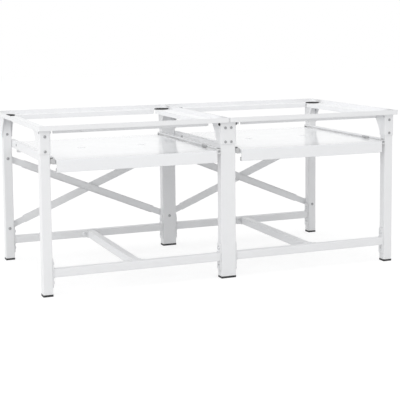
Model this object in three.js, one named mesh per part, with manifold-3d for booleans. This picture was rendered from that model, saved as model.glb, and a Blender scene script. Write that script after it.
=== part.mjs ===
// A double pedestal: it lifts two washing machines side by side and has a pull-out shelf under each.
// Lengths are in millimetres, +X points right, +Y points to the back and +Z points up.
// The origin is the middle of the pedestal's outline, on the floor.

import * as THREE from 'three';
import { mergeVertices } from 'three/addons/utils/BufferGeometryUtils.js';
import Module from 'manifold-3d';

const wasm = await Module();
wasm.setup();

// Overall sizes of the top frame, and how far it stands out past the legs
const overallWidth = 1220;
const overallDepth = 610;
const overallHeight = 513;
const sideOverhang = 10;
const endOverhang = 19;

// Fits shared by all pieces
const seatGap = 0.3;
const runningGap = 0.8;
const overrun = 5;

// Legs: rectangular steel tube, the middle pair wider than the rest
const sideLegWidth = 30;
const centreLegWidth = 50;
const legDepth = 30;
const legWall = 1.5;
const legCornerRadius = 2.5;

// Plastic feet that plug into the leg tubes
const footHeight = 6;
const footLip = 0.5;
const footPlugHeight = 22;
const footPlugWall = 2;

// Top frame: folded sheet with a rim turned up at its outer edge and flanges down round its window
const frameSheet = 2;
const rimHeight = 15;
const rimCornerRadius = 7;
const flangeHeight = 13;
const flangeEndGap = 4;

// Leg brackets: pressed sheet, U-shaped in plan, with cheeks that flare out along the top frame
const bracketSheet = 2;
const bracketHeight = 69.7;
const bracketDepth = 65;
const bracketTipHeight = 5;
const cheekStraightShare = 0.18;
const cheekBendAlongShare = 0.42;
const cheekBendUpShare = 0.66;
const reliefHoleRadius = 4;

// Rubber pads in the corners of the top frame
const padRadius = 25;
const padThickness = 3;
const padEdgeRound = 1;
const padDishRadius = 17;
const padDishDepth = 1;
const padRimGap = 0.5;
const padEndInset = 52;

// Lower stretchers and the cross tubes between them, square tube with welded end plates
const stretcherTube = 25;
const stretcherWall = 1.5;
const stretcherCornerRadius = 2;
const stretcherHeight = 69;
const endPlateThickness = 3;
const endPlateLength = 90;
const endPlateWidth = 26;
const endPlateRound = 8;
const endPlateHoleRadius = 7;
const crossPlateLength = 62;
const crossPlateRound = 4;

// Diagonal braces at the back: channel with flat tabs that bolt behind the legs
const braceUpperDrop = 161;
const braceLowerHeight = 110;
const braceSheet = 1.5;
const braceWidth = 26;
const braceLip = 6;
const braceTabWidth = 22;
const braceTabLength = 62;

// Slides: a C-shaped rail on the legs and a runner on the shelf that is held behind the rail's lips
const slideDrop = 108.5;
const slideSheet = 1.5;
const railHeight = 27;
const railDepth = 12;
const railOpening = 18;
const railFrontGap = 6;
const railRearGap = 16;
const railHoleRadius = 3;
const railHoleEndGap = 76;
const runnerFrontGap = 3;
const runnerRearGap = 49;
const runnerNoseLength = 75;
const runnerStudLength = 40;
const runnerStudHeight = 9;
const runnerStudEndGap = 30;

// Release levers on the runners, bent from a flat plastic bar
const leverThickness = 2.6;
const leverBar = 6;
const leverLength = 36;
const leverStem = 14;
const leverStemGap = 120;
const leverRise = 13;

// Shelves: folded sheet with low sides, and a front and a back lip that are turned in and up again
const shelfSideGap = 16.5;
const shelfProud = 10;
const shelfRearGap = 27;
const shelfDrop = 103;
const shelfSheet = 1.5;
const shelfSkirt = 37;
const shelfEdgeRadius = 4;
const shelfSideSkirt = 13;
const shelfHem = 12;
const shelfReturn = 12;

// Stiffeners: a hat-shaped rib across the middle of each shelf's underside
const ribSheet = 1.2;
const ribWidth = 64;
const ribCrown = 30;
const ribHeight = 16;
const ribLip = 11;

// Facets of the round shapes
const cornerFacets = 2;
const curveFacets = 8;
const padFacets = 24;
const holeFacets = 12;

// Places worked out from the sizes above
const legSpanX = overallWidth - 2 * sideOverhang;
const legSpanY = overallDepth - 2 * endOverhang;
const ledgeUnderside = overallHeight - rimHeight;
const ledgeTop = ledgeUnderside + frameSheet;
const legTop = ledgeUnderside - seatGap;
const ledgeWidth = frameSheet + 2 * (padRimGap + padRadius);
const braceUpperHeight = overallHeight - braceUpperDrop;
const slideHeight = overallHeight - slideDrop;
const railLength = legSpanY - railFrontGap - railRearGap;
const runnerLength = legSpanY - runnerFrontGap - runnerRearGap;
const shelfTopHeight = overallHeight - shelfDrop;
const shelfDepth = legSpanY + shelfProud - shelfRearGap;

const legColumns = [
  { name: 'left', x: (sideLegWidth - legSpanX) / 2, width: sideLegWidth },
  { name: 'centre', x: 0, width: centreLegWidth },
  { name: 'right', x: (legSpanX - sideLegWidth) / 2, width: sideLegWidth },
];
const legRows = [
  { name: 'front', y: (legDepth - legSpanY) / 2, turn: 0 },
  { name: 'rear', y: (legSpanY - legDepth) / 2, turn: Math.PI },
];
const bays = [0, 1].map((index) => {
  const start = legColumns[index].x + legColumns[index].width / 2;
  const end = legColumns[index + 1].x - legColumns[index + 1].width / 2;
  return { name: legColumns[2 * index].name, index, start, end, x: (start + end) / 2, width: end - start };
});

const whiteCoat = new THREE.MeshStandardMaterial({ color: 0xe9eaec, roughness: 0.45, metalness: 0.0 });
const glossCoat = new THREE.MeshStandardMaterial({ color: 0xf0f1f3, roughness: 0.15, metalness: 0.0 });
const greyCoat = new THREE.MeshStandardMaterial({ color: 0xc9cbcd, roughness: 0.45, metalness: 0.1 });
const zinc = new THREE.MeshStandardMaterial({ color: 0xb4b6b8, roughness: 0.35, metalness: 0.8 });
const blackPlastic = new THREE.MeshStandardMaterial({ color: 0x1b1b1c, roughness: 0.6, metalness: 0.0 });
const blackRubber = new THREE.MeshStandardMaterial({ color: 0x0e0e0f, roughness: 0.85, metalness: 0.0 });

const group = new THREE.Group();

// Adds one named piece at a place, turned about the upright axis if need be.
function add(name, geometry, material, x, y, z, turn = 0) {
  const mesh = new THREE.Mesh(geometry, material);
  mesh.name = name;
  mesh.position.set(x, y, z);
  mesh.rotation.z = turn;
  group.add(mesh);
}

// A solid for cutting and joining, from a closed geometry.
function solidOf(geometry) {
  const bare = geometry.clone();
  bare.deleteAttribute('normal');
  bare.deleteAttribute('uv');
  const merged = mergeVertices(bare);
  const vertProperties = new Float32Array(merged.attributes.position.array);
  const triVerts = new Uint32Array(merged.index.array);
  return new wasm.Manifold(new wasm.Mesh({ numProp: 3, vertProperties, triVerts }));
}

// The geometry of a finished solid.
function geometryOf(solid) {
  const mesh = solid.getMesh();
  const geometry = new THREE.BufferGeometry();
  geometry.setAttribute('position', new THREE.BufferAttribute(new Float32Array(mesh.vertProperties), 3));
  geometry.setIndex(new THREE.BufferAttribute(new Uint32Array(mesh.triVerts), 1));
  geometry.computeVertexNormals();
  return geometry;
}

// Joins solids into one.
function joined(solids) {
  return solids.reduce((whole, next) => whole.add(next));
}

// A rectangle with rounded corners about the origin, as an outline.
function roundedRectangle(width, height, radius) {
  const x = width / 2;
  const y = height / 2;
  const outline = new THREE.Shape();
  outline.moveTo(-x + radius, -y);
  outline.lineTo(x - radius, -y);
  outline.absarc(x - radius, -y + radius, radius, -Math.PI / 2, 0);
  outline.lineTo(x, y - radius);
  outline.absarc(x - radius, y - radius, radius, 0, Math.PI / 2);
  outline.lineTo(-x + radius, y);
  outline.absarc(-x + radius, y - radius, radius, Math.PI / 2, Math.PI);
  outline.lineTo(-x, -y + radius);
  outline.absarc(-x + radius, -y + radius, radius, Math.PI, 1.5 * Math.PI);
  return outline;
}

// An outline through the given points.
function polygon(points) {
  return new THREE.Shape(points.map(([x, y]) => new THREE.Vector2(x, y)));
}

// An outline pushed up along +Z from the floor of its own frame.
function extrude(outline, length, facets = cornerFacets) {
  const options = { depth: length, bevelEnabled: false, curveSegments: facets };
  return new THREE.ExtrudeGeometry(outline, options);
}

// An outline drawn in Y and Z, pushed along X and centred on it.
function extrudeAlongX(outline, length, facets = cornerFacets) {
  const geometry = extrude(outline, length, facets);
  geometry.translate(0, 0, -length / 2);
  const toY = new THREE.Vector3(0, 1, 0);
  const toZ = new THREE.Vector3(0, 0, 1);
  const toX = new THREE.Vector3(1, 0, 0);
  return geometry.applyMatrix4(new THREE.Matrix4().makeBasis(toY, toZ, toX));
}

// An outline drawn in X and Z, pushed along Y and centred on it.
function extrudeAlongY(outline, length) {
  const geometry = extrude(outline, length);
  geometry.translate(0, 0, -length / 2);
  const toX = new THREE.Vector3(1, 0, 0);
  const toZ = new THREE.Vector3(0, 0, 1);
  const toFront = new THREE.Vector3(0, -1, 0);
  return geometry.applyMatrix4(new THREE.Matrix4().makeBasis(toX, toZ, toFront));
}

// A shape mirrored left to right where the side is negative, with its faces still pointing out.
function mirrored(geometry, side) {
  if (side < 0) {
    geometry.scale(-1, 1, 1);
    const order = geometry.index.array;
    for (let corner = 0; corner < order.length; corner += 3) {
      [order[corner], order[corner + 1]] = [order[corner + 1], order[corner]];
    }
    geometry.computeVertexNormals();
  }
  return geometry;
}

// A box between two corners, whichever way round they are given.
function block(x0, x1, y0, y1, z0, z1) {
  const geometry = new THREE.BoxGeometry(Math.abs(x1 - x0), Math.abs(y1 - y0), Math.abs(z1 - z0));
  return geometry.translate((x0 + x1) / 2, (y0 + y1) / 2, (z0 + z1) / 2);
}

// The cross-section of a rectangular tube.
function tubeSection(width, depth, wall, radius) {
  const section = roundedRectangle(width, depth, radius);
  section.holes.push(roundedRectangle(width - 2 * wall, depth - 2 * wall, Math.max(radius - wall, wall / 2)));
  return section;
}

// Legs and feet

function legTube(width) {
  const section = tubeSection(width, legDepth, legWall, legCornerRadius);
  return extrude(section, legTop - footHeight - seatGap);
}

// A foot is a flat tread with a hollow plug that fits inside the leg tube.
function foot(width) {
  const treadWidth = width + 2 * footLip;
  const treadDepth = legDepth + 2 * footLip;
  const tread = extrude(roundedRectangle(treadWidth, treadDepth, legCornerRadius + footLip), footHeight);
  const plugWidth = width - 2 * (legWall + seatGap);
  const plugDepth = legDepth - 2 * (legWall + seatGap);
  const plug = extrude(tubeSection(plugWidth, plugDepth, footPlugWall, legWall), footHeight + footPlugHeight);
  return geometryOf(solidOf(tread).add(solidOf(plug)));
}

// Leg brackets

// The side view of a bracket in Y and Z: straight beside the leg, then slightly hollow out to its tip.
function cheekOutline() {
  const front = -(legDepth / 2 + seatGap + bracketSheet);
  const back = legDepth / 2;
  const tip = bracketDepth - legDepth / 2;
  const rise = bracketHeight - bracketTipHeight;
  const outline = new THREE.Shape();
  outline.moveTo(front, 0);
  outline.lineTo(back, 0);
  outline.lineTo(back, rise * cheekStraightShare);
  outline.quadraticCurveTo(back + (tip - back) * cheekBendAlongShare, rise * cheekBendUpShare, tip, rise);
  outline.lineTo(tip, bracketHeight);
  outline.lineTo(front, bracketHeight);
  return outline;
}

// The plan of a bracket: a U of bent sheet round the leg's outer face and both sides.
function bracketPlan(width) {
  const inner = width / 2 + seatGap;
  const outer = inner + bracketSheet;
  const webBack = -(legDepth / 2 + seatGap);
  const webFront = webBack - bracketSheet;
  const bend = legCornerRadius + seatGap;
  const outerBend = bend + bracketSheet;
  const plan = new THREE.Shape();
  plan.moveTo(-outer, bracketDepth);
  plan.lineTo(-outer, webFront + outerBend);
  plan.absarc(-outer + outerBend, webFront + outerBend, outerBend, Math.PI, 1.5 * Math.PI);
  plan.lineTo(outer - outerBend, webFront);
  plan.absarc(outer - outerBend, webFront + outerBend, outerBend, -Math.PI / 2, 0);
  plan.lineTo(outer, bracketDepth);
  plan.lineTo(inner, bracketDepth);
  plan.lineTo(inner, webBack + bend);
  plan.absarc(inner - bend, webBack + bend, bend, 0, -Math.PI / 2, true);
  plan.lineTo(-inner + bend, webBack);
  plan.absarc(-inner + bend, webBack + bend, bend, -Math.PI / 2, -Math.PI, true);
  plan.lineTo(-inner, bracketDepth);
  return plan;
}

// The bracket is the bent U trimmed to its side view, with a relief hole through each upper bend.
function legBracket(width) {
  const wide = width + 2 * (seatGap + bracketSheet + overrun);
  const bent = solidOf(extrude(bracketPlan(width), bracketHeight));
  const trim = solidOf(extrudeAlongX(cheekOutline(), wide, curveFacets));
  const hole = new THREE.CylinderGeometry(reliefHoleRadius, reliefHoleRadius, wide, holeFacets);
  hole.rotateZ(Math.PI / 2);
  hole.translate(0, -legDepth / 2 + reliefHoleRadius, bracketHeight - reliefHoleRadius - bracketSheet);
  return geometryOf(bent.intersect(trim).subtract(solidOf(hole)));
}

for (const row of legRows) {
  for (const column of legColumns) {
    const place = `${row.name}_${column.name}`;
    add(`leg_${place}`, legTube(column.width), whiteCoat, column.x, row.y, footHeight + seatGap);
    add(`foot_${place}`, foot(column.width), blackPlastic, column.x, row.y, 0);
    add(`bracket_${place}`, legBracket(column.width), whiteCoat, column.x, row.y, legTop - bracketHeight, row.turn);
  }
}

// Top frame

// One half of the top frame: rim, ledge and four flanges round the window, open at the window's corners.
function topFrameHalf(side) {
  const outer = (side * overallWidth) / 2;
  const seam = (side * seatGap) / 2;
  const middle = (outer + seam) / 2;
  const width = Math.abs(outer - seam);
  const outline = roundedRectangle(width, overallDepth, rimCornerRadius);
  const rim = outline.clone();
  const innerRadius = rimCornerRadius - frameSheet;
  rim.holes.push(roundedRectangle(width - 2 * frameSheet, overallDepth - 2 * frameSheet, innerRadius));
  const ledge = outline.clone();
  ledge.holes.push(roundedRectangle(width - 2 * ledgeWidth, overallDepth - 2 * ledgeWidth, frameSheet));

  const edgeX = width / 2 - ledgeWidth;
  const edgeY = overallDepth / 2 - ledgeWidth;
  const endX = edgeX - flangeEndGap;
  const endY = edgeY - flangeEndGap;
  const low = -flangeHeight;
  const flanges = [
    block(-endX, endX, -edgeY, -edgeY - frameSheet, low, frameSheet),
    block(-endX, endX, edgeY, edgeY + frameSheet, low, frameSheet),
    block(-edgeX, -edgeX - frameSheet, -endY, endY, low, frameSheet),
    block(edgeX, edgeX + frameSheet, -endY, endY, low, frameSheet),
  ];
  const solids = [extrude(rim, rimHeight), extrude(ledge, frameSheet), ...flanges].map(solidOf);
  return { geometry: geometryOf(joined(solids)), x: middle, width };
}

// A round pad with a softened edge and a shallow dish for an appliance's foot.
function rubberPad() {
  const profile = new THREE.Path();
  profile.moveTo(0, 0);
  profile.lineTo(padRadius, 0);
  profile.lineTo(padRadius, padThickness - padEdgeRound);
  profile.absarc(padRadius - padEdgeRound, padThickness - padEdgeRound, padEdgeRound, 0, Math.PI / 2);
  profile.lineTo(padDishRadius + padDishDepth, padThickness);
  profile.lineTo(padDishRadius, padThickness - padDishDepth);
  profile.lineTo(0, padThickness - padDishDepth);
  const lathe = new THREE.LatheGeometry(profile.getPoints(2), padFacets);
  return lathe.rotateX(Math.PI / 2);
}

for (const [bayName, side] of [['left', -1], ['right', 1]]) {
  const half = topFrameHalf(side);
  add(`top_frame_${bayName}`, half.geometry, whiteCoat, half.x, 0, ledgeUnderside);
  const padInset = frameSheet + padRimGap + padRadius;
  for (const [endName, endY] of [['front', -1], ['rear', 1]]) {
    for (const [placeName, placeX] of [['outer', side], ['inner', -side]]) {
      const x = half.x + placeX * (half.width / 2 - padInset);
      const y = endY * (overallDepth / 2 - padEndInset);
      add(`pad_${bayName}_${endName}_${placeName}`, rubberPad(), blackRubber, x, y, ledgeTop + seatGap);
    }
  }
}

// Lower stretchers and cross tubes

// An end plate's outline, with the vent hole that opens into the tube.
function endPlateOutline(width, height, round) {
  const outline = roundedRectangle(width, height, round);
  const side = 2 * endPlateHoleRadius;
  outline.holes.push(roundedRectangle(side, side, endPlateHoleRadius));
  return outline;
}

// A tube along X with an upright plate welded on each end.
function stretcher(length) {
  const section = tubeSection(stretcherTube, stretcherTube, stretcherWall, stretcherCornerRadius);
  const tube = extrudeAlongX(section, length - endPlateThickness);
  const plate = extrudeAlongX(endPlateOutline(endPlateWidth, endPlateLength, endPlateRound), endPlateThickness);
  const out = (length - endPlateThickness) / 2;
  const plates = [-out, out].map((x) => solidOf(plate.clone().translate(x, 0, 0)));
  return geometryOf(joined([solidOf(tube), ...plates]));
}

// A tube along Y with a plate on each end that lies along the stretcher.
function crossTube(length) {
  const section = tubeSection(stretcherTube, stretcherTube, stretcherWall, stretcherCornerRadius);
  const tube = extrudeAlongY(section, length - endPlateThickness);
  const plate = extrudeAlongY(endPlateOutline(crossPlateLength, stretcherTube, crossPlateRound), endPlateThickness);
  const out = (length - endPlateThickness) / 2;
  const plates = [-out, out].map((y) => solidOf(plate.clone().translate(0, y, 0)));
  return geometryOf(joined([solidOf(tube), ...plates]));
}

for (const bay of bays) {
  for (const row of legRows) {
    const length = bay.width - 2 * seatGap;
    add(`stretcher_${row.name}_${bay.name}`, stretcher(length), whiteCoat, bay.x, row.y, stretcherHeight);
  }
  const clear = legSpanY - legDepth - stretcherTube - 2 * seatGap;
  add(`cross_tube_${bay.name}`, crossTube(clear), whiteCoat, bay.x, 0, stretcherHeight);
}

// Braces

// A channel that lies along X with its web in the XZ plane and its lips to the front.
// Beyond the channel the web goes on as a narrower tab with a round end about the bolt.
function brace(boltDistance) {
  const tabs = roundedRectangle(boltDistance + braceTabWidth, braceTabWidth, braceTabWidth / 2);
  const strip = extrudeAlongY(tabs, braceSheet);
  const high = braceWidth / 2;
  const low = high - braceSheet;
  const back = braceSheet / 2;
  const section = polygon([
    [back, -high],
    [back, high],
    [back - braceLip, high],
    [back - braceLip, low],
    [-back, low],
    [-back, -low],
    [back - braceLip, -low],
    [back - braceLip, -high],
  ]);
  const channel = extrudeAlongX(section, boltDistance - 2 * braceTabLength);
  return geometryOf(solidOf(strip).add(solidOf(channel)));
}

const bracePlane = legSpanY / 2 + seatGap + braceSheet / 2;
for (const bay of bays) {
  const from = legColumns[bay.index].x;
  const to = legColumns[bay.index + 1].x;
  const fall = braceUpperHeight - braceLowerHeight;
  const geometry = brace(Math.hypot(to - from, fall));
  const slope = Math.atan2(fall, to - from);
  const height = (braceUpperHeight + braceLowerHeight) / 2;
  const falling = new THREE.Mesh(geometry, greyCoat);
  falling.name = `brace_${bay.name}_falling`;
  falling.position.set((from + to) / 2, bracePlane, height);
  falling.rotation.y = slope;
  // The rising brace lies behind the falling one, web to web, with its lips to the back.
  const rising = new THREE.Mesh(geometry, greyCoat);
  rising.name = `brace_${bay.name}_rising`;
  rising.position.set((from + to) / 2, bracePlane + braceSheet + seatGap, height);
  rising.rotation.set(0, slope, Math.PI, 'ZYX');
  group.add(falling, rising);
}

// Slides

// The rail's section, drawn with the leg's face at x = 0: web, flanges and two lips.
function railSection() {
  const high = railHeight / 2;
  const inside = high - slideSheet;
  const opening = railOpening / 2;
  const lip = railDepth - slideSheet;
  return polygon([
    [0, -high],
    [railDepth, -high],
    [railDepth, -opening],
    [lip, -opening],
    [lip, -inside],
    [slideSheet, -inside],
    [slideSheet, inside],
    [lip, inside],
    [lip, opening],
    [railDepth, opening],
    [railDepth, high],
    [0, high],
  ]);
}

// A rail with two holes in its web and a stop across its back end, and no lower flange in front.
function rail() {
  const channel = solidOf(extrudeAlongY(railSection(), railLength));
  const back = railLength / 2;
  const open = -railOpening / 2;
  const cut = -back + runnerNoseLength;
  const notch = solidOf(block(-overrun, railDepth + overrun, -back - overrun, cut, -railHeight, open));
  const inside = railHeight / 2 - slideSheet / 2;
  const stop = solidOf(block(slideSheet / 2, railDepth, back - slideSheet, back, -inside, inside));
  const holes = [-1, 1].map((end) => {
    const hole = new THREE.CylinderGeometry(railHoleRadius, railHoleRadius, 2 * overrun, holeFacets);
    hole.rotateZ(Math.PI / 2);
    hole.translate(0, end * (back - railHoleEndGap), 0);
    return solidOf(hole);
  });
  return geometryOf(channel.add(stop).subtract(joined([notch, ...holes])));
}

// The runner's section: its web fills the rail's opening and its flanges turn out behind the rail's lips.
function runnerSection() {
  const web = railDepth;
  const neck = railOpening / 2 - runningGap;
  const inside = neck - slideSheet;
  const flange = railHeight / 2 - slideSheet - runningGap;
  const flangeFront = railDepth - slideSheet - runningGap;
  const flangeBack = flangeFront - slideSheet;
  return polygon([
    [flangeBack, -flange],
    [flangeFront, -flange],
    [flangeFront, -neck],
    [web, -neck],
    [web, neck],
    [flangeFront, neck],
    [flangeFront, flange],
    [flangeBack, flange],
    [flangeBack, inside],
    [web - slideSheet, inside],
    [web - slideSheet, -inside],
    [flangeBack, -inside],
  ]);
}

// A runner with a nose and two studs that carry the shelf's side.
function runner() {
  const end = runnerLength / 2;
  const neck = railOpening / 2 - runningGap;
  const cut = -end + runnerNoseLength;
  const notch = solidOf(block(-overrun, railDepth + overrun, -end - overrun, cut, -railHeight, -neck));
  const channel = solidOf(extrudeAlongY(runnerSection(), runnerLength)).subtract(notch);
  const half = runnerStudHeight / 2;
  const inner = railDepth - slideSheet / 2;
  const outer = shelfSideGap - 2 * seatGap;
  const rear = end - runnerStudEndGap;
  const nose = block(inner, outer, -end, -end + runnerNoseLength, -neck, neck);
  const middleStud = block(inner, outer, -runnerStudLength / 2, runnerStudLength / 2, -half, half);
  const rearStud = block(inner, outer, rear - runnerStudLength, rear, -half, half);
  return geometryOf(joined([channel, ...[nose, middleStud, rearStud].map(solidOf)]));
}

// A release lever: a bar that shows above the shelf, on a stem that pivots on the runner's web.
function lever() {
  const right = leverLength;
  const bar = leverBar / 2;
  const outline = new THREE.Shape();
  outline.moveTo(0, -bar);
  outline.absarc(0, 0, bar, -Math.PI / 2, -1.5 * Math.PI, true);
  outline.lineTo(right, bar);
  outline.absarc(right, 0, bar, Math.PI / 2, 0, true);
  outline.lineTo(right + bar, -leverRise + bar);
  outline.absarc(right, -leverRise + bar, bar, 0, -Math.PI / 2, true);
  outline.lineTo(right - leverStem + leverBar, -leverRise);
  outline.lineTo(right - leverStem, -bar);
  return extrudeAlongX(outline, leverThickness, curveFacets);
}

const frontFace = -legSpanY / 2;
for (const bay of bays) {
  // The slides on a bay's right side are the left ones mirrored, so that their stops face the same way.
  for (const [sideName, legFace, inward] of [
    ['left', bay.start, 1],
    ['right', bay.end, -1],
  ]) {
    const place = `${bay.name}_bay_${sideName}`;
    const x = legFace + inward * seatGap;
    const railY = frontFace + railFrontGap + railLength / 2;
    const runnerY = frontFace + runnerFrontGap + runnerLength / 2;
    const leverX = x + inward * (railDepth + seatGap + leverThickness / 2);
    const leverY = frontFace + leverStemGap - leverLength;
    const leverZ = slideHeight + railHeight / 2 - leverBar / 2;
    add(`rail_${place}`, mirrored(rail(), inward), whiteCoat, x, railY, slideHeight);
    add(`runner_${place}`, mirrored(runner(), inward), zinc, x, runnerY, slideHeight);
    add(`lever_${place}`, lever(), blackPlastic, leverX, leverY, leverZ);
  }
}

// Shelves

// The shelf's outline in Y and Z, with rounded upper edges, drawn inset by a given distance.
function shelfOutline(inset) {
  const front = -shelfDepth / 2 + inset;
  const back = shelfDepth / 2 - inset;
  const top = shelfSkirt - inset;
  const bottom = inset > 0 ? -overrun : 0;
  const radius = shelfEdgeRadius - inset;
  const outline = new THREE.Shape();
  outline.moveTo(front, bottom);
  outline.lineTo(back, bottom);
  outline.lineTo(back, top - radius);
  outline.absarc(back - radius, top - radius, radius, 0, Math.PI / 2);
  outline.lineTo(front + radius, top);
  outline.absarc(front + radius, top - radius, radius, Math.PI / 2, Math.PI);
  return outline;
}

// A folded tray turned upside down: a flat top with low sides, and lips that are hollow with open ends.
function shelf(width) {
  const shell = solidOf(extrudeAlongX(shelfOutline(0), width));
  const hollow = solidOf(extrudeAlongX(shelfOutline(shelfSheet), width - 2 * shelfSheet));
  const half = width / 2;
  const face = shelfDepth / 2;
  const wall = face - shelfSheet;
  const turn = face - shelfHem;
  const low = shelfSkirt - shelfSideSkirt;
  const cuts = [];
  const folds = [];
  for (const end of [-1, 1]) {
    cuts.push(solidOf(block(end * (half + overrun), end * (half - overrun), -wall, wall, -overrun, low)));
    folds.push(solidOf(block(-half, half, end * face, end * turn, 0, shelfSheet)));
    folds.push(solidOf(block(-half, half, end * turn, end * (turn + shelfSheet), 0, shelfReturn)));
  }
  const bent = shell.subtract(hollow).subtract(joined(cuts));
  return geometryOf(joined([bent, ...folds]));
}

// A hat-shaped rib along X: two lips under the shelf and a crown below them.
function rib(length) {
  const half = ribWidth / 2;
  const shoulder = half - ribLip;
  const crown = ribCrown / 2;
  const section = polygon([
    [-half, 0],
    [-half, -ribSheet],
    [-shoulder, -ribSheet],
    [-crown, -ribHeight],
    [crown, -ribHeight],
    [shoulder, -ribSheet],
    [half, -ribSheet],
    [half, 0],
    [shoulder - ribSheet, 0],
    [crown - ribSheet, ribSheet - ribHeight],
    [ribSheet - crown, ribSheet - ribHeight],
    [ribSheet - shoulder, 0],
  ]);
  return extrudeAlongX(section, length);
}

for (const bay of bays) {
  const y = frontFace - shelfProud + shelfDepth / 2;
  const width = bay.width - 2 * shelfSideGap;
  const underside = shelfTopHeight - shelfSheet - seatGap;
  add(`shelf_${bay.name}`, shelf(width), glossCoat, bay.x, y, shelfTopHeight - shelfSkirt);
  add(`rib_${bay.name}`, rib(width - 2 * (shelfSheet + seatGap)), whiteCoat, bay.x, y, underside);
}

export default group;
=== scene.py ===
"""A white steel double pedestal for two laundry appliances, with a pull-out shelf in each bay.

Lengths are in metres. +X is to the right, +Y to the back and +Z up; the shelves pull out to the front.
"""

import math

import bmesh
import bpy
from mathutils import Matrix, Vector


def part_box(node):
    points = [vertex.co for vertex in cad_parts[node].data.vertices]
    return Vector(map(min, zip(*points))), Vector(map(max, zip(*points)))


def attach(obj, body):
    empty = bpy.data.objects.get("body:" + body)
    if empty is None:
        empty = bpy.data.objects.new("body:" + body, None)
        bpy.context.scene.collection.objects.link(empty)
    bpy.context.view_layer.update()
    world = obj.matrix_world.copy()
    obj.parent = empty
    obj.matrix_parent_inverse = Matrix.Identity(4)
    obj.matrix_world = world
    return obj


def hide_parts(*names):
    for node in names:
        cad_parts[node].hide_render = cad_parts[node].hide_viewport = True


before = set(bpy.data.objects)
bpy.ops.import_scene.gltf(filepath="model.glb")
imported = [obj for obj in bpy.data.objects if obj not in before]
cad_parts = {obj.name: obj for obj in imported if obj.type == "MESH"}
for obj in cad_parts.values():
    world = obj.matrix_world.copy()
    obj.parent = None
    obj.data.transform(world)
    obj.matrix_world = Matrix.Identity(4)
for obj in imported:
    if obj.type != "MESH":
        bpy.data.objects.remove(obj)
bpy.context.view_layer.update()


# The camera stands in front and to the left, a little above the top frame, and looks slightly to the right
# and down. Its place, turn, lens and small upward shift come from lines fitted to the legs, stretchers and
# braces.
camera_place = Vector((-1.3049, -3.3051, 0.8089))
camera_yaw = 0.38119
camera_pitch = -0.107298
camera_roll = -0.0094387
lens_px = 1054.7
picture_px = 400
sensor_mm = 36.0
middle_px = (200.0, 136.0)
view_reach = 50.0

camera_data = bpy.data.cameras.new("camera")
camera_data.sensor_width = sensor_mm
camera_data.lens = lens_px / picture_px * sensor_mm
camera_data.shift_x = 0.5 - middle_px[0] / picture_px
camera_data.shift_y = middle_px[1] / picture_px - 0.5
camera_data.clip_end = view_reach
camera = bpy.data.objects.new("camera", camera_data)
bpy.context.scene.collection.objects.link(camera)
turn = Matrix.Rotation(-camera_yaw, 4, "Z") @ Matrix.Rotation(math.pi / 2 + camera_pitch, 4, "X")
camera.matrix_world = Matrix.Translation(camera_place) @ turn @ Matrix.Rotation(camera_roll, 4, "Z")
bpy.context.scene.camera = camera
bpy.context.scene.view_settings.view_transform = "Standard"


# The studio is a pale floor under a white sky, with a soft lamp at the front left, a wide one further off at
# the left and a weak one overhead. What the camera and the glossy pieces see of floor and sky is white; the
# floor still takes the pedestal's shadow.
floor_size = 24.0
floor_rgb = (0.80, 0.80, 0.80, 1.0)
floor_catch_rgb = (0.30, 0.30, 0.30, 1.0)
floor_glow = 0.76
seen_rgb = (1.0, 1.0, 1.0, 1.0)
sky_strength = 0.84
lamps = [
    ("key lamp", (-3.0, -3.8, 2.5), 2.4, 38.0),
    ("side lamp", (-7.5, -0.3, 2.7), 3.4, 90.0),
    ("top lamp", (0.0, -0.4, 2.5), 1.6, 11.0),
]
lamp_aim = Vector((0, 0, 0.3))


class Socket:
    """An output of a node that takes part in sums as a number does."""

    def __init__(self, graph, value):
        self.graph = graph
        self.value = value

    def _math(self, operation, other, swapped=False):
        values = (other, self) if swapped else (self, other)
        return self.graph.node("ShaderNodeMath", {"operation": operation}, {0: values[0], 1: values[1]})

    def __add__(self, other):
        return self._math("ADD", other)

    __radd__ = __add__

    def __sub__(self, other):
        return self._math("SUBTRACT", other)

    def __rsub__(self, other):
        return self._math("SUBTRACT", other, True)

    def __mul__(self, other):
        return self._math("MULTIPLY", other)

    __rmul__ = __mul__

    def __gt__(self, other):
        return self._math("GREATER_THAN", other)

    def at_least(self, other):
        return self._math("MAXIMUM", other)

    def at_most(self, other):
        return self._math("MINIMUM", other)

    def part(self, name):
        return Socket(self.graph, self.value.node.outputs[name])


class Graph:
    """The nodes of one material, of the sky, or of one rule that makes a shape."""

    def __init__(self, tree):
        self.tree = tree
        self.tree.nodes.clear()

    def node(self, kind, settings=None, inputs=None, output=0):
        made = self.tree.nodes.new(kind)
        for name, value in (settings or {}).items():
            setattr(made, name, value)
        for name, value in (inputs or {}).items():
            socket = made.inputs[name]
            if isinstance(value, Socket):
                self.tree.links.new(value.value, socket)
            else:
                socket.default_value = value
        return Socket(self, made.outputs[output]) if made.outputs else made

    def mix(self, share, first, second):
        return self.node("ShaderNodeMix", {"data_type": "RGBA"}, {0: share, 6: first, 7: second}, 2)


def paint_of(owner):
    owner.use_nodes = True
    return Graph(owner.node_tree)


def piece_of(name, mesh):
    piece = bpy.data.objects.new(name, mesh)
    bpy.context.scene.collection.objects.link(piece)
    return piece


def seen_share(paint):
    """One where the camera or a reflection looks, and nought for light that falls on the pedestal."""
    ray = paint.node("ShaderNodeLightPath")
    seen = ray.part("Is Camera Ray").at_least(ray.part("Is Glossy Ray"))
    return seen.at_least(ray.part("Is Transmission Ray"))


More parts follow.
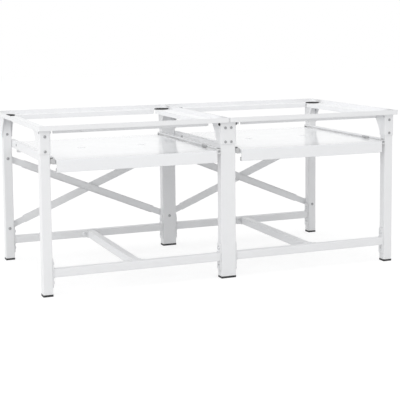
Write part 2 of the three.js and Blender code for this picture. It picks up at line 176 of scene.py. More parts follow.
sky = bpy.data.worlds.new("sky")
bpy.context.scene.world = sky
paint = paint_of(sky)
seen = seen_share(paint)
lit_sky = paint.node("ShaderNodeBackground", None, {"Color": seen_rgb, "Strength": sky_strength})
seen_sky = paint.node("ShaderNodeBackground", None, {"Color": seen_rgb, "Strength": 1.0})
sky_mix = paint.node("ShaderNodeMixShader", None, {0: seen, 1: lit_sky, 2: seen_sky})
paint.node("ShaderNodeOutputWorld", None, {"Surface": sky_mix})

floor_mesh = bpy.data.meshes.new("floor")
half = floor_size / 2
corners = [(-half, -half, 0), (half, -half, 0), (half, half, 0), (-half, half, 0)]
floor_mesh.from_pydata(corners, [], [(0, 1, 2, 3)])
floor = piece_of("floor", floor_mesh)
floor_finish = bpy.data.materials.new("pale floor")
paint = paint_of(floor_finish)
seen = seen_share(paint)
matt = paint.node("ShaderNodeBsdfDiffuse", None, {"Color": floor_rgb})
glow = paint.node("ShaderNodeEmission", None, {"Color": seen_rgb, "Strength": floor_glow})
faint = paint.node("ShaderNodeBsdfDiffuse", None, {"Color": floor_catch_rgb})
seen_floor = paint.node("ShaderNodeAddShader", None, {0: glow, 1: faint})
floor_mix = paint.node("ShaderNodeMixShader", None, {0: seen, 1: matt, 2: seen_floor})
paint.node("ShaderNodeOutputMaterial", None, {"Surface": floor_mix})
floor_mesh.materials.append(floor_finish)

for name, place, width, power in lamps:
    lamp_data = bpy.data.lights.new(name, "AREA")
    lamp_data.size = width
    lamp_data.energy = power
    lamp = bpy.data.objects.new(name, lamp_data)
    bpy.context.scene.collection.objects.link(lamp)
    towards = lamp_aim - Vector(place)
    lamp.matrix_world = Matrix.Translation(place) @ towards.to_track_quat("-Z", "Y").to_matrix().to_4x4()


# Six legs of cold-rolled rectangular steel tube, 30 x 30 mm at the sides and 50 x 30 mm in the middle, sawn
# to length and powder-coated white. The baked coat has a fine orange peel and a faint cloudiness; it draws
# back from the tube's corners, where it is a little thinner and greyer.
columns = {"left": -0.585, "centre": 0.0, "right": 0.585}
rows = {"front": -1, "rear": 1}
sides = {"left": -1, "right": 1}
white_rgb = (0.84, 0.845, 0.855)
cloud_scale = 9.0
cloudy_share = 0.965
clear_share = 1.015
cloud_rough = 0.10
blotch_scale = 55.0
blotch_edge = 0.6
blotch_share = 0.10
blotch_rough = 0.06
thin_share = 0.86
thin_gain = 7.0
thin_least = 0.15
thin_spread = 0.35
varnish_rough = 0.04
peel_strength = 0.4
bevel_samples = 4


def opaque(rgb, share=1.0):
    """A colour, made darker or lighter by a share, in the form that a node takes."""
    return tuple(min(1.0, part * share) for part in rgb) + (1.0,)


def begin_finish(name, rgb):
    """A new material with its plain colour, its nodes, and the place on the piece that they read."""
    finish = bpy.data.materials.new(name)
    finish.diffuse_color = opaque(rgb)
    paint = paint_of(finish)
    return finish, paint, paint.node("ShaderNodeTexCoord").part("Object")


def noise(paint, place, scale, detail):
    return paint.node("ShaderNodeTexNoise", None, {"Vector": place, "Scale": scale, "Detail": detail})


def worn_corners(paint, reach, gain):
    """The normal rounded over the corners, and a share that grows from nought to one towards them."""
    rounded = paint.node("ShaderNodeBevel", {"samples": bevel_samples}, {"Radius": reach})
    face = paint.node("ShaderNodeNewGeometry").part("Normal")
    agree = paint.node("ShaderNodeVectorMath", {"operation": "DOT_PRODUCT"}, {0: rounded, 1: face}, 1)
    return rounded, ((1.0 - agree) * gain).at_most(1.0)


def relief(paint, height, depth, strength, rounded=None):
    """Shallow bumps of a height and depth, laid over the rounded corners if they are given."""
    inputs = {"Strength": strength, "Distance": depth, "Height": height}
    if rounded:
        inputs["Normal"] = rounded
    return paint.node("ShaderNodeBump", None, inputs)


def end_finish(paint, inputs):
    surface = paint.node("ShaderNodeBsdfPrincipled", None, inputs)
    paint.node("ShaderNodeOutputMaterial", None, {"Surface": surface})


def powder_coat(name, rgb, rough=0.42, peel=0.0016, peel_depth=0.00005, corner=0.0012, gloss=0.0):
    finish, paint, place = begin_finish(name, rgb)
    cloud = noise(paint, place, cloud_scale, 3.0)
    blotch = noise(paint, place, blotch_scale, 4.0)
    fine = noise(paint, place, 1 / peel, 2.0)
    rounded, thin = worn_corners(paint, corner, thin_gain)
    cloudy = opaque(rgb, cloudy_share)
    colour = paint.mix(cloud, cloudy, opaque(rgb, clear_share))
    colour = paint.mix((blotch > blotch_edge) * blotch_share, colour, cloudy)
    colour = paint.mix(thin * (thin_least + blotch * thin_spread), colour, opaque(rgb, thin_share))
    peel_bump = relief(paint, fine, peel_depth, peel_strength, rounded)
    least_rough = rough - (cloud_rough + blotch_rough) / 2
    coat = {
        "Base Color": colour,
        "Roughness": cloud * cloud_rough + blotch * blotch_rough + least_rough,
        "Coat Weight": gloss,
        "Coat Roughness": varnish_rough,
        "Normal": peel_bump,
    }
    end_finish(paint, coat)
    return finish


def dress(finish, *names):
    for name in names:
        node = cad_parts[name]
        node.data.materials.clear()
        node.data.materials.append(finish)


white_coat = powder_coat("white powder coat", white_rgb)
dress(white_coat, *[f"leg_{row}_{column}" for row in rows for column in columns])


# Six black caps, injection-moulded in polyethylene, are pressed into the legs' lower ends. The moulding has
# a fine spark-eroded grain, a dull sheen, and paler rub marks on the corners that meet the floor.
grain_size = 0.0006
grain_depth = 0.00004
grain_strength = 0.5
rub_reach = 0.0008
rub_gain = 6.0
cap_smear_scale = 120.0
cap_rough = 0.42
cap_rough_spread = 0.25
black_rgb = (0.022, 0.022, 0.024)
rubbed_rgb = (0.085, 0.085, 0.088)

black_plastic, paint, place = begin_finish("black moulded plastic", black_rgb)
grain = paint.node("ShaderNodeTexVoronoi", None, {"Vector": place, "Scale": 1 / grain_size})
smear = noise(paint, place, cap_smear_scale, 4.0)
rounded, rub = worn_corners(paint, rub_reach, rub_gain)
rub = rub * smear
grain_bump = relief(paint, grain, grain_depth, grain_strength, rounded)
moulding = {
    "Base Color": paint.mix(rub, opaque(black_rgb), opaque(rubbed_rgb)),
    "Roughness": cap_rough + smear * cap_rough_spread,
    "Normal": grain_bump,
}
end_finish(paint, moulding)
dress(black_plastic, *[f"foot_{row}_{column}" for row in rows for column in columns])


# Six brackets, pressed from 2 mm sheet, are bent in a U round the leg tops and welded under the top frame.
# Dull plated pan-head screws hold the web on; at the back the lower ones also show on the leg's front. Black
# stoppers close the middle brackets' relief holes; their black is painted shade, standing for the shade
# inside the holes.
web_face = 0.2883
leg_front = 0.256
screw_heights = (0.436, 0.480)
centre_screw_offset = 0.0098
screw_radius = 0.0044
screw_height = 0.0026
pan_profile = ((1.0, 0), (1.0, 0.3), (0.95, 0.6), (0.8, 0.85), (0.5, 0.97))
recess_span = 0.0052
recess_width = 0.0012
recess_depth = 0.0015
screw_rgb = (0.47, 0.475, 0.485)
screw_rough = 0.42
steel_cloud_scale = 40.0
steel_grain_scale = 900.0
steel_grain_depth = 0.00002
steel_grain_strength = 0.3
steel_dull_share = 0.82
steel_rough_spread = 0.2
dress(white_coat, *[f"bracket_{row}_{column}" for row in rows for column in columns])


def mesh_of(shape, name):
    """Turns a finished shape into a mesh and frees it."""
    mesh = bpy.data.meshes.new(name)
    shape.to_mesh(mesh)
    shape.free()
    return mesh


def lathe(name, profile, steps):
    """Turns a profile of (radius, height) points about the upright axis; it may start and end on the axis."""
    shape = bmesh.new()
    angles = [2 * math.pi * step / steps for step in range(steps)]
    rings = []
    for radius, height in profile:
        if radius == 0:
            rings.append([shape.verts.new((0, 0, height))])
        else:
            ring = [(radius * math.cos(angle), radius * math.sin(angle), height) for angle in angles]
            rings.append([shape.verts.new(point) for point in ring])
    for lower, upper in zip(rings, rings[1:]):
        for step in range(steps):
            after = (step + 1) % steps
            corners = [lower[step % len(lower)], lower[after % len(lower)]]
            corners += [upper[after % len(upper)], upper[step % len(upper)]]
            shape.faces.new(list(dict.fromkeys(corners)))
    bmesh.ops.recalc_face_normals(shape, faces=shape.faces)
    return mesh_of(shape, name)


def domed(name, profile, radius, rise, steps):
    """A flat-bottomed head or plug; the profile gives its side as shares of its radius and rise."""
    side = [(across * radius, up * rise) for across, up in profile]
    return piece_of(name, lathe(name, [(0, 0), *side, (0, rise)], steps))


def block(name, lo, hi):
    """A plain block between two corners, used to cut a shape."""
    shape = bmesh.new()
    bmesh.ops.create_cube(shape, size=1.0)
    for vert in shape.verts:
        vert.co = Vector([lo[axis] if vert.co[axis] < 0 else hi[axis] for axis in range(3)])
    return mesh_of(shape, name)


def settled(piece):
    """The piece's mesh with its modifiers worked in."""
    depsgraph = bpy.context.evaluated_depsgraph_get()
    return bpy.data.meshes.new_from_object(piece.evaluated_get(depsgraph))


def screw_head(name, radius, height):
    """A domed pan head with a cross recess, standing on its underside."""
    head = domed(name, pan_profile, radius, height, 24)
    half, wide, deep = recess_span / 2, recess_width / 2, height - recess_depth
    cutters = []
    for lo, hi in (((-half, -wide), (half, wide)), ((-wide, -half), (wide, half))):
        cutter = piece_of(name + "_cutter", block(name + "_cutter", (*lo, deep), (*hi, height * 2)))
        cut = head.modifiers.new("recess", "BOOLEAN")
        cut.operation = "DIFFERENCE"
        cut.object = cutter
        cutters.append(cutter)
    mesh = settled(head)
    for gone in (*cutters, head):
        bpy.data.objects.remove(gone)
    return piece_of(name, mesh)


def rule_of(name, *sockets):
    """A tree of Geometry Nodes with one geometry in and out, and named inputs for its sizes."""
    tree = bpy.data.node_groups.new(name, "GeometryNodeTree")
    graph = Graph(tree)
    tree.interface.new_socket("Geometry", in_out="INPUT", socket_type="NodeSocketGeometry")
    for label, kind in sockets:
        tree.interface.new_socket(label, in_out="INPUT", socket_type=kind)
    tree.interface.new_socket("Geometry", in_out="OUTPUT", socket_type="NodeSocketGeometry")
    return graph, graph.node("NodeGroupInput")


def end_rule(graph, given, instances):
    """Makes the instances real, gives them their finish and hands back the finished tree."""
    real = graph.node("GeometryNodeRealizeInstances", None, {"Geometry": instances})
    finishing = {"Geometry": real, "Material": given.part("Finish")}
    finished = graph.node("GeometryNodeSetMaterial", None, finishing)
    graph.node("NodeGroupOutput", None, {"Geometry": finished})
    return graph.tree


def grow(name, start, rule, sizes, soft_angle=35.0):
    """Runs a rule over a mesh and gives the piece that it makes, as a plain mesh."""
    seed = piece_of(name + "_start", start)
    modifier = seed.modifiers.new("rule", "NODES")
    modifier.node_group = rule
    for socket in rule.interface.items_tree:
        if socket.in_out == "INPUT" and socket.name in sizes:
            modifier[socket.identifier] = sizes[socket.name]
    mesh = settled(seed)
    bpy.data.objects.remove(seed)
    mesh.name = name
    for polygon in mesh.polygons:
        polygon.use_smooth = True
    mesh.set_sharp_from_angle(angle=math.radians(soft_angle))
    return piece_of(name, mesh)


def spots_mesh(name, spots):
    """Points, each with the direction that a fastener there looks in."""
    mesh = bpy.data.meshes.new(name)
    mesh.from_pydata([place for place, facing in spots], [], [])
    facing_of = mesh.attributes.new("facing", "FLOAT_VECTOR", "POINT")
    for index, (place, facing) in enumerate(spots):
        facing_of.data[index].vector = facing
    return mesh


graph, given = rule_of(
    "fasteners on spots",
    ("Head", "NodeSocketObject"),
    ("Turn seed", "NodeSocketInt"),
    ("Finish", "NodeSocketMaterial"),
)
facing = graph.node("GeometryNodeInputNamedAttribute", {"data_type": "FLOAT_VECTOR"}, {"Name": "facing"})
upright = graph.node("FunctionNodeAlignRotationToVector", {"axis": "Z"}, {"Vector": facing})
half_turn = {2: 0.0, 3: math.pi, "Seed": given.part("Turn seed")}
angle = graph.node("FunctionNodeRandomValue", {"data_type": "FLOAT"}, half_turn, 1)
about_axis = graph.node("ShaderNodeCombineXYZ", None, {"Z": angle})
twist = graph.node("FunctionNodeEulerToRotation", None, {0: about_axis})
twisting = {"Rotation": upright, "Rotate By": twist}
turned = graph.node("FunctionNodeRotateRotation", {"rotation_space": "LOCAL"}, twisting)
head = graph.node("GeometryNodeObjectInfo", None, {"Object": given.part("Head")}).part("Geometry")
placing = {"Points": given.part("Geometry"), "Instance": head, "Rotation": turned}
fastener_rule = end_rule(graph, given, graph.node("GeometryNodeInstanceOnPoints", None, placing))


def plated_steel(name, rgb, rough, rolled=(1.0, 1.0, 1.0)):
    """Zinc-plated steel, a little cloudy, with a faint grain that a stretch of its axes can draw out."""
    finish, paint, place = begin_finish(name, rgb)
    cloud = noise(paint, place, steel_cloud_scale, 4.0)
    along = paint.node("ShaderNodeMapping", None, {"Vector": place, "Scale": rolled})
    grain = noise(paint, along, steel_grain_scale, 2.0)
    grain_bump = relief(paint, grain, steel_grain_depth, steel_grain_strength)
    steel = {
        "Base Color": paint.mix(cloud, opaque(rgb, steel_dull_share), opaque(rgb)),
        "Roughness": cloud * steel_rough_spread + (rough - steel_rough_spread / 2),
        "Metallic": 1.0,
        "Normal": grain_bump,
    }
    end_finish(paint, steel)
    return finish


screw_steel = plated_steel("dull plated screws", screw_rgb, screw_rough)
pan_head = screw_head("pan_head", screw_radius, screw_height)


def fasten(name, body, head, spots, finish=None, seed=1):
    sizes = {"Head": head, "Turn seed": seed, "Finish": finish or screw_steel}
    piece = grow(name, spots_mesh(name, spots), fastener_rule, sizes)
    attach(piece, body)
    return piece


spots = []
for way in rows.values():
    for column, x in columns.items():
        offsets = (-centre_screw_offset, centre_screw_offset) if column == "centre" else (0.0,)
        for offset in offsets:
            spots += [((x + offset, way * web_face, z), (0, way, 0)) for z in screw_heights]
            if way > 0:
                spots.append(((x + offset, leg_front, screw_heights[0]), (0, -way, 0)))
fasten("bracket_screws", "frame", pan_head, spots)

# The black domes over the relief holes are painted shade: they stand for the shade inside the holes.
relief_radius = 0.0038
relief_line = 0.2825
relief_height = 0.4917
sheet = 0.002
shade_stopper_radius = 0.0056
shade_stopper_rise = 0.0040
shade_stopper_steps = 6
dome = [(0, 0), (relief_radius, 0), (relief_radius, sheet), (shade_stopper_radius, sheet)]
for step in range(1, shade_stopper_steps):
    angle = math.pi / 2 * step / shade_stopper_steps
    dome.append((shade_stopper_radius * math.cos(angle), sheet + shade_stopper_rise * math.sin(angle)))
dome.append((0, sheet + shade_stopper_rise))
stopper = piece_of("stopper", lathe("stopper", dome, 20))
spots = []
for row, way in rows.items():
    lo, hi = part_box(f"bracket_{row}_centre")
    spots.append(((lo.x + sheet, way * relief_line, relief_height), (-1, 0, 0)))
    spots.append(((hi.x - sheet, way * relief_line, relief_height), (1, 0, 0)))
shade_stoppers = fasten("relief_stoppers", "frame", stopper, spots, black_plastic)
bpy.data.objects.remove(stopper)

# The cheeks' top edges are held to the underside of the top frame by short welds, coated over.
weld_radius = 0.0018
weld_step = 0.0014
weld_seed = 3
bead_swell = (0.85, 1.15)
bead_squat = 0.8
cheek_weld_spans = ((0.270, 0.258), (0.246, 0.232))
cheek_weld_out = weld_radius * 0.3
ledge_under = 0.498
cheek_weld_drop = 0.0008

graph, given = rule_of(
    "weld beads along lines",
    ("Bead radius", "NodeSocketFloat"),
    ("Step", "NodeSocketFloat"),
    ("Seed", "NodeSocketInt"),
    ("Finish", "NodeSocketMaterial"),
)
line = graph.node("GeometryNodeMeshToCurve", None, {"Mesh": given.part("Geometry")})
stepping = {"Curve": line, "Length": given.part("Step")}
even = graph.node("GeometryNodeResampleCurve", {"mode": "LENGTH"}, stepping)
along = graph.node("GeometryNodeInputTangent")
lie = graph.node("FunctionNodeAlignRotationToVector", {"axis": "X"}, {"Vector": along})
ball = {"Segments": 8, "Rings": 5, "Radius": given.part("Bead radius")}
bead = graph.node("GeometryNodeMeshUVSphere", None, ball)
swelling = {2: bead_swell[0], 3: bead_swell[1], "Seed": given.part("Seed")}
swell = graph.node("FunctionNodeRandomValue", {"data_type": "FLOAT"}, swelling, 1)
squat = graph.node("ShaderNodeCombineXYZ", None, {"X": swell * bead_squat, "Y": swell, "Z": swell})
placing = {"Points": even, "Instance": bead, "Rotation": lie, "Scale": squat}
weld_rule = end_rule(graph, given, graph.node("GeometryNodeInstanceOnPoints", None, placing))


def weld(name, lines):
    """Coated weld beads along lines, each given as its points; a line that ends where it began is closed."""
    mesh = bpy.data.meshes.new(name)
    points, edges = [], []
    for line in lines:
        first = len(points)
        closed = line[0] == line[-1]
        used = line[:-1] if closed else line
        points += used
        edges += [(first + i, first + i + 1) for i in range(len(used) - 1)]
        if closed:
            edges.append((first + len(used) - 1, first))
    mesh.from_pydata(points, edges, [])
    sizes = {"Bead radius": weld_radius, "Step": weld_step, "Seed": weld_seed, "Finish": white_coat}
    piece = grow(name, mesh, weld_rule, sizes, 180.0)
    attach(piece, "frame")
    return piece


lines = []
for row, way in rows.items():
    for column in columns:
        lo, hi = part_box(f"bracket_{row}_{column}")
        for line_x in (lo.x - cheek_weld_out, hi.x + cheek_weld_out):
            for span in cheek_weld_spans:
                lines.append([(line_x, way * y, ledge_under - cheek_weld_drop) for y in span])
weld("bracket_welds", lines)


# The top frame is two folded trays of 2 mm sheet without a floor: a rim turned up at the outer edge, a ledge
# for the appliance's feet, and a flange turned down at the inner edge. The rims are coated with the rest.
dress(white_coat, *[f"top_frame_{side}" for side in sides])


# Eight round pads of black rubber lie in the corners, one under each foot of an appliance. Each is moulded
# with a rounded edge and a dished seat with grip rings, and is glued to the ledge.
pad_radius = 0.025
pad_base = 0.5003
pad_thickness = 0.003
pad_chamfer = 0.0006
pad_round = 0.0012
pad_round_middle = (0.0004, 0.0005)
dish_radius = 0.017
dish_slope = 0.0012
dish_depth = 0.001
ring_radii = (0.004, 0.007, 0.010, 0.013)
ring_half = 0.0006
ring_height = 0.00035
rubber_rgb = (0.018, 0.018, 0.019)
dusty_rgb = (0.055, 0.053, 0.052)
pore_scale = 1800.0
pore_depth = 0.00004
pore_strength = 0.4
bloom_scale = 90.0
bloom_edge = 0.52
bloom_share = 0.7
rubber_rough = 0.62
rubber_rough_spread = 0.25

seat = pad_thickness - dish_depth
profile = [(0, 0), (pad_radius - pad_chamfer, 0), (pad_radius, pad_chamfer)]
profile.append((pad_radius, pad_thickness - pad_round))
profile.append((pad_radius - pad_round_middle[0], pad_thickness - pad_round_middle[1]))
profile.append((pad_radius - pad_round, pad_thickness))
profile += [(dish_radius + dish_slope, pad_thickness), (dish_radius, seat)]
for radius in reversed(ring_radii):
    profile += [(radius + ring_half, seat), (radius, seat + ring_height), (radius - ring_half, seat)]
profile.append((0, seat))

rubber, paint, place = begin_finish("black rubber", rubber_rgb)
pore = noise(paint, place, pore_scale, 2.0)
bloom = noise(paint, place, bloom_scale, 5.0)
pore_bump = relief(paint, pore, pore_depth, pore_strength)
dusty = (bloom > bloom_edge) * bloom * bloom_share
rubber_skin = {
    "Base Color": paint.mix(dusty, opaque(rubber_rgb), opaque(dusty_rgb)),
    "Roughness": rubber_rough + bloom * rubber_rough_spread,
    "Normal": pore_bump,
}
end_finish(paint, rubber_skin)

one_pad = piece_of("one_pad", lathe("one_pad", profile, 56))
pad_nodes = [f"pad_{bay}_{row}_{place}" for bay in sides for row in rows for place in ("outer", "inner")]
spots = []
for name in pad_nodes:
    lo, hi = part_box(name)
    spots.append((((lo.x + hi.x) / 2, (lo.y + hi.y) / 2, pad_base), (0, 0, 1)))
sizes = {"Head": one_pad, "Turn seed": 5, "Finish": rubber}
pads = grow("pads", spots_mesh("pads", spots), fastener_rule, sizes)
bpy.data.objects.remove(one_pad)
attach(pads, "frame")
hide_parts(*pad_nodes)


# Four stretchers of 25 mm square tube tie the legs together low down. A 3 mm plate is welded to each end and
# bolted to the leg's inner face with two flanged hexagon bolts, one above and one below the tube.
tube_half = 0.0125
tube_height = 0.069
tube_weld_out = weld_radius * 0.25
bolt_heights = (0.039, 0.097)
bolt_across = 0.010
bolt_height = 0.004
bolt_dish = 0.0004
flange_radius = 0.0066
flange_height = 0.0012
corner_chamfer = 0.12
crown_share = 0.93
dish_inset = 0.14
plate_inner = {"start": 0.0283, "end": 0.5667}
leg_line = 0.271
bolt_rgb = (0.80, 0.81, 0.82)
bolt_rough = 0.5
bolt_zinc = plated_steel("bright plated bolts", bolt_rgb, bolt_rough)
dress(white_coat, *[f"stretcher_{row}_{side}" for row in rows for side in sides])


def join_into(mesh, *others):
    """Adds other meshes to a mesh."""
    shape = bmesh.new()
    for joined in (mesh, *others):
        shape.from_mesh(joined)
    shape.to_mesh(mesh)
    shape.free()


def hexagon(name, across, height, flange, flange_thickness, dish=0.0):
    """A hexagon head or nut with chamfered corners on a round flange or washer."""
    corner = across / math.sqrt(3)
    low, brim = flange_thickness, height - corner_chamfer * across
    angles = [math.pi / 3 * step for step in range(6)]
    shape = bmesh.new()
    rings = []
    for radius, z in ((corner, low), (corner, brim), (across / 2 * crown_share, height)):
        ring = [(radius * math.cos(angle), radius * math.sin(angle), z) for angle in angles]
        rings.append([shape.verts.new(point) for point in ring])
    for lower, upper in zip(rings, rings[1:]):
        for step in range(6):
            after = (step + 1) % 6
            shape.faces.new((lower[step], lower[after], upper[after], upper[step]))
    shape.faces.new(list(reversed(rings[0])))
    top = shape.faces.new(rings[-1])
    if dish:
        bmesh.ops.inset_region(shape, faces=[top], thickness=dish_inset * across, depth=-dish)
    bmesh.ops.recalc_face_normals(shape, faces=shape.faces)
    mesh = mesh_of(shape, name)
    profile = [(0, 0), (flange, 0), (flange, 0.5 * low), (corner, low), (0, low)]
    join_into(mesh, lathe(name + "_flange", profile, 24))
    return piece_of(name, mesh)


def square_round(middle, axis, half):
    """A closed square line round a tube that runs along an axis."""
    first, second = [other for other in range(3) if other != axis]
    line = []
    for across, up in ((-1, -1), (1, -1), (1, 1), (-1, 1), (-1, -1)):
        corner = list(middle)
        corner[first] += across * half
        corner[second] += up * half
        line.append(tuple(corner))
    return line


bolt_head = hexagon("bolt_head", bolt_across, bolt_height, flange_radius, flange_height, bolt_dish)
spots = []
for way in rows.values():
    for hand in sides.values():
        for z in bolt_heights:
            spots.append(((hand * plate_inner["start"], way * leg_line, z), (hand, 0, 0)))
            spots.append(((hand * plate_inner["end"], way * leg_line, z), (-hand, 0, 0)))
fasten("stretcher_bolts", "frame", bolt_head, spots, bolt_zinc)

lines = []
for way in rows.values():
    for hand in sides.values():
        for key, inward in (("start", 1), ("end", -1)):
            x = hand * (plate_inner[key] + inward * tube_weld_out)
            lines.append(square_round((x, way * leg_line, tube_height), 0, tube_half + tube_weld_out))
weld("stretcher_welds", lines)


# A cross tube of the same section runs from front to back in the middle of each bay. Its end plates lie
# flat on the stretchers and are held by a pair of flanged hexagon bolts each.
cross_offset = 0.0225
cross_plate_face = 0.2552
bay_middle = 0.2975
dress(white_coat, *[f"cross_tube_{side}" for side in sides])

spots = []
lines = []
for way in rows.values():
    for hand in sides.values():
        for offset in (-cross_offset, cross_offset):
            place = (hand * bay_middle + offset, way * cross_plate_face, tube_height)
            spots.append((place, (0, -way, 0)))
        middle = (hand * bay_middle, way * (cross_plate_face - tube_weld_out), tube_height)
        lines.append(square_round(middle, 1, tube_half + tube_weld_out))
fasten("cross_tube_bolts", "frame", bolt_head, spots, bolt_zinc)
weld("cross_tube_welds", lines)
bpy.data.objects.remove(bolt_head)


# Four braces cross behind the bays in pairs: shallow channels of 1.5 mm sheet with flattened ends. Bolts run
# from the front through the rear legs, with pan heads in front and a washer and nut behind.
brace_rgb = (0.845, 0.85, 0.858)
brace_rough = 0.45
brace_heights = {"low": 0.110, "high": 0.352}
brace_head_radius = 0.0050
brace_head_height = 0.0030
leg_back = 0.286
falling_back = 0.2878
rising_front = 0.2881
rising_back = 0.2896
washer_radius = 0.0075
washer_thickness = 0.0012
nut_across = 0.010
nut_height = 0.0046
thread_radius = 0.0029
thread_stand = 0.0028
thread_turns = 5
thread_root = 0.88
thread_tip = 0.8
brace_coat = powder_coat("pale grey powder coat", brace_rgb, brace_rough)
dress(brace_coat, *[f"brace_{side}_{way}" for side in sides for way in ("falling", "rising")])

brace_head = screw_head("brace_head", brace_head_radius, brace_head_height)
spots = [((x, leg_front, z), (0, -1, 0)) for x in columns.values() for z in brace_heights.values()]
fasten("brace_bolts", "frame", brace_head, spots, seed=8)
bpy.data.objects.remove(brace_head)

nut_top = washer_thickness + nut_height
nut = hexagon("nut", nut_across, nut_top, washer_radius, washer_thickness)
shank = [(0, 0)]
for step in range(thread_turns):
    base = nut_top + thread_stand * step / thread_turns
    shank += [(thread_radius, base), (thread_radius * thread_root, base + thread_stand / thread_turns / 2)]
shank += [(thread_radius * thread_tip, nut_top + thread_stand), (0, nut_top + thread_stand)]
join_into(nut.data, lathe("shank", shank, 16))
spots = []
for x in columns.values():
    for key, z in brace_heights.items():
        single_falling = (x < 0 and key == "high") or (x > 0 and key == "low")
        spots.append(((x, falling_back if single_falling else rising_back, z), (0, 1, 0)))
fasten("brace_nuts", "frame", nut, spots, seed=9)
bpy.data.objects.remove(nut)

spacer_length = rising_front - leg_back
spacer_ring = [(0, 0), (washer_radius, 0), (washer_radius, spacer_length), (0, spacer_length)]
spacer = piece_of("spacer", lathe("spacer", spacer_ring, 24))
spots = [((columns["left"], leg_back, brace_heights["low"]), (0, 1, 0))]
spots += [((columns["right"], leg_back, brace_heights["high"]), (0, 1, 0))]
fasten("brace_spacers", "frame", spacer, spots)
bpy.data.objects.remove(spacer)


# Four slide rails, rolled from steel strip into a C with two lips and coated white, are screwed to the legs'
# inner faces. The lower flange is cut away in front, where the runner's nose comes out, and a plated rivet
# near the rear end holds the stop.
rail_web_inner = 0.0015
rail_screw_height = 0.4045
rail_screw_places = (-0.271, 0.262)
rivet_place = 0.184
rivet_height = 0.406
rivet_radius = 0.0046
rivet_rise = 0.0022
rivet_profile = ((1.0, 0), (1.0, 0.25), (0.85, 0.65), (0.5, 0.93))
dress(white_coat, *[f"rail_{bay}_bay_{side}" for bay in sides for side in sides])


def rail_face(bay, side):
    """Where the back of a rail's web lies, across the bay."""
    lo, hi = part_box(f"rail_{bay}_bay_{side}")
    return lo.x if side == "left" else hi.x


spots = []
for bay in sides:
    for side, hand in sides.items():
        x = rail_face(bay, side) - hand * rail_web_inner
        spots += [((x, y, rail_screw_height), (-hand, 0, 0)) for y in rail_screw_places]
fasten("rail_screws", "frame", pan_head, spots, seed=12)
bpy.data.objects.remove(pan_head)

rivet = domed("rivet", rivet_profile, rivet_radius, rivet_rise, 20)
spots = []
for bay in sides:
    for side, hand in sides.items():
        spots.append(((rail_face(bay, side), rivet_place, rivet_height), (hand, 0, 0)))
fasten("rail_rivets", "frame", rivet, spots)
bpy.data.objects.remove(rivet)


# Four runners, rolled from bright galvanized strip with a faint grain along it, are held behind the rails'
# lips and carry the shelves. A moulded buffer closes each runner's front end: a white one with a screw
# at the right, and a grey one at the left whose grey is painted shade, standing for the shade in the rail's
# open end; behind the runner's back end a white stop is pressed into the rail.
zinc_rgb = (0.92, 0.925, 0.93)
zinc_rough = 0.42
zinc_stretch = (1.0, 0.03, 1.0)
# A grey that paints the shade in the rails' open front ends and in the shelves' lip hollows.
shade_grey_rgb = (0.57, 0.575, 0.58)
grey_rough = 0.40
white_plastic_rgb = (0.84, 0.845, 0.85)
white_plastic_rough = 0.45
mould_grain_scale = 1600.0
mould_grain_depth = 0.00003
mould_grain_strength = 0.5
mould_smear_scale = 150.0
mould_dull_share = 0.85
mould_rough_spread = 0.2
plate_round = 0.003
plate_edge = 0.0008
round_steps = 4
brim_width = 0.0022
brim_slope = 0.0005
brim_depth = 0.0004
buffer_span = (0.0004, 0.0148)
buffer_heights = (0.3982, 0.4142)
buffer_depths = (-0.2866, -0.2831)
buffer_screw_inset = 0.0062
buffer_screw_height = 0.4070
buffer_screw_radius = 0.0040
buffer_screw_rise = 0.0022
stop_depths = (0.2395, 0.2545)
stop_span = (0.0018, 0.0102)
stop_heights = (0.3931, 0.4159)
runner_zinc = plated_steel("galvanized runner strip", zinc_rgb, zinc_rough, zinc_stretch)
dress(runner_zinc, *[f"runner_{bay}_bay_{side}" for bay in sides for side in sides])


def moulded(name, rgb, rough):
    """Moulded plastic with a fine spark-eroded grain and a slightly uneven sheen."""
    finish, paint, place = begin_finish(name, rgb)
    grain = paint.node("ShaderNodeTexVoronoi", None, {"Vector": place, "Scale": mould_grain_scale})
    smear = noise(paint, place, mould_smear_scale, 4.0)
    grain_bump = relief(paint, grain, mould_grain_depth, mould_grain_strength)
    skin = {
        "Base Color": paint.mix(smear, opaque(rgb, mould_dull_share), opaque(rgb)),
        "Roughness": smear * mould_rough_spread + rough,
        "Normal": grain_bump,
    }
    end_finish(paint, skin)
    return finish


def rounded_plate(name, lo, hi, corner=plate_round, edge=plate_edge, brim=brim_width):
    """A plate upright in X and Z with rounded corners, a chamfered front edge and a shallow front recess."""
    outline = []
    for middle_x, middle_z, start in (
        (hi[0] - corner, hi[2] - corner, 0),
        (lo[0] + corner, hi[2] - corner, 1),
        (lo[0] + corner, lo[2] + corner, 2),
        (hi[0] - corner, lo[2] + corner, 3),
    ):
        for step in range(round_steps + 1):
            angle = math.pi / 2 * (start + step / round_steps)
            outline.append((middle_x, middle_z, corner * math.cos(angle), corner * math.sin(angle)))
    shape = bmesh.new()
    rings = []
    for y, shrink in ((hi[1], 0.0), (lo[1] + edge, 0.0), (lo[1], edge)):
        share = (corner - shrink) / corner
        rings.append([shape.verts.new((x + dx * share, y, z + dz * share)) for x, z, dx, dz in outline])
    for back, front in zip(rings, rings[1:]):
        for step in range(len(outline)):
            after = (step + 1) % len(outline)
            shape.faces.new((back[step], back[after], front[after], front[step]))
    shape.faces.new(rings[0])
    face = shape.faces.new(rings[-1])
    bmesh.ops.inset_region(shape, faces=[face], thickness=brim, depth=0.0)
    bmesh.ops.inset_region(shape, faces=[face], thickness=brim_slope, depth=-brim_depth)
    bmesh.ops.recalc_face_normals(shape, faces=shape.faces)
    return mesh_of(shape, name)


def plate_in_rail(name, bay, side, span, depths, heights):
    """A rounded plate in a rail's section; its span is measured from the back of the web."""
    across = sorted(rail_face(bay, side) - sides[side] * inset for inset in span)
    return rounded_plate(name, (across[0], depths[0], heights[0]), (across[1], depths[1], heights[1]))
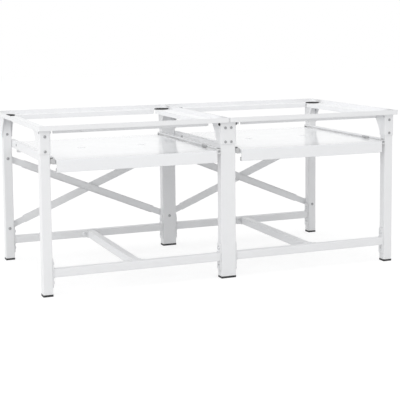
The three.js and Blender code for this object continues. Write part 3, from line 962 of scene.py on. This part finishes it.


# The grey plastic is painted shade, used for the left buffers and the front lip plugs.
shade_grey_plastic = moulded("pale grey plastic for painted shade", shade_grey_rgb, grey_rough)
white_plastic = moulded("white moulded plastic", white_plastic_rgb, white_plastic_rough)
buffer_head = screw_head("buffer_head", buffer_screw_radius, buffer_screw_rise)
for bay in sides:
    for side in sides:
        name = f"runner_buffer_{bay}_bay_{side}"
        mesh = plate_in_rail(name, bay, side, buffer_span, buffer_depths, buffer_heights)
        # The left buffers are grey as painted shade; the right ones are white.
        mesh.materials.append(shade_grey_plastic if side == "left" else white_plastic)
        buffer = piece_of(name, mesh)
        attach(buffer, f"shelf_{bay}")
    place = (rail_face(bay, "right") - buffer_screw_inset, buffer_depths[0], buffer_screw_height)
    fasten(f"buffer_screw_{bay}", f"shelf_{bay}", buffer_head, [(place, (0, -1, 0))], seed=15)
bpy.data.objects.remove(buffer_head)

shape = bmesh.new()
for bay in sides:
    for side in sides:
        shape.from_mesh(plate_in_rail("stop", bay, side, stop_span, stop_depths, stop_heights))
mesh = mesh_of(shape, "rail_stops")
mesh.materials.append(white_plastic)
stops = piece_of("rail_stops", mesh)
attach(stops, "frame")


# A small bent lever on each runner lets the shelf be lifted out of its slides. It is moulded of a darker grey
# plastic than the buffers and turns on a stud that is part of it.
lever_rgb = (0.49, 0.495, 0.50)
lever_rough = 0.36
lever_plastic = moulded("darker grey moulded plastic", lever_rgb, lever_rough)
dress(lever_plastic, *[f"lever_{bay}_bay_{side}" for bay in sides for side in sides])


# Two shelves are folded from 1.5 mm sheet with low sides; the front and back lips are turned in and up again.
# Their coat is glossier than the frame's. Domed plugs close two holes over the rib, and plastic plugs close
# the lips' hollow ends: white ones at the back, and grey ones in front whose grey is painted shade, standing
# for the shade inside the lips' hollow folds.
gloss_rgb = (0.85, 0.857, 0.87)
shelf_top = 0.410
plug_radius = 0.011
plug_rise = 0.0007
plug_profile = ((1.0, 0), (1.0, 0.3), (0.93, 0.75), (0.75, 0.95))
plug_offset = 0.1025
plug_line = -0.0155
lip_plug_inset = 0.0017
lip_plug_width = 0.0086
lip_plug_heights = (0.3747, 0.3862)
lip_plug_depth = 0.006
lip_plug_proud = 0.0005
lip_plug_round = 0.0018
lip_plug_edge = 0.0004
lip_plug_brim = 0.0014
gloss_coat = powder_coat(
    "glossy white coat", gloss_rgb, rough=0.24, peel=0.004, peel_depth=0.00003, corner=0.0015, gloss=0.6
)
dress(gloss_coat, *[f"shelf_{side}" for side in sides])

plug = domed("plug", plug_profile, plug_radius, plug_rise, 32)
for side in sides:
    lo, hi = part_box(f"shelf_{side}")
    middle = (lo.x + hi.x) / 2
    spots = [((middle + offset, plug_line, shelf_top), (0, 0, 1)) for offset in (-plug_offset, plug_offset)]
    plugs = fasten(f"shelf_plugs_{side}", f"shelf_{side}", plug, spots, white_coat)
    for row, y, finish, slot in (
        # The front plugs' grey is painted shade for the hollow fold behind them.
        ("front", lo.y + lip_plug_inset, shade_grey_plastic, "black_plastic"),
        ("rear", hi.y - lip_plug_inset - lip_plug_width, gloss_coat, "gloss_white"),
    ):
        shape = bmesh.new()
        for edge, out in ((lo.x, -1), (hi.x, 1)):
            low = (y, -lip_plug_proud, lip_plug_heights[0])
            high = (y + lip_plug_width, lip_plug_depth, lip_plug_heights[1])
            start = len(shape.verts)
            shape.from_mesh(
                rounded_plate("lip_plug", low, high, lip_plug_round, lip_plug_edge, lip_plug_brim)
            )
            shape.verts.ensure_lookup_table()
            for vert in shape.verts[start:]:
                vert.co = Vector((edge - out * vert.co.y, vert.co.x, vert.co.z))
        bmesh.ops.recalc_face_normals(shape, faces=shape.faces)
        mesh = mesh_of(shape, f"lip_plugs_{row}_{side}")
        mesh.materials.append(finish)
        lip_plugs = piece_of(f"lip_plugs_{row}_{side}", mesh)
        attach(lip_plugs, f"shelf_{side}")
bpy.data.objects.remove(plug)


# A hat-shaped rib of 1.2 mm sheet is spot-welded across the middle of each shelf's underside. It is coated
# with the frame's white coat.
dress(white_coat, *[f"rib_{side}" for side in sides])
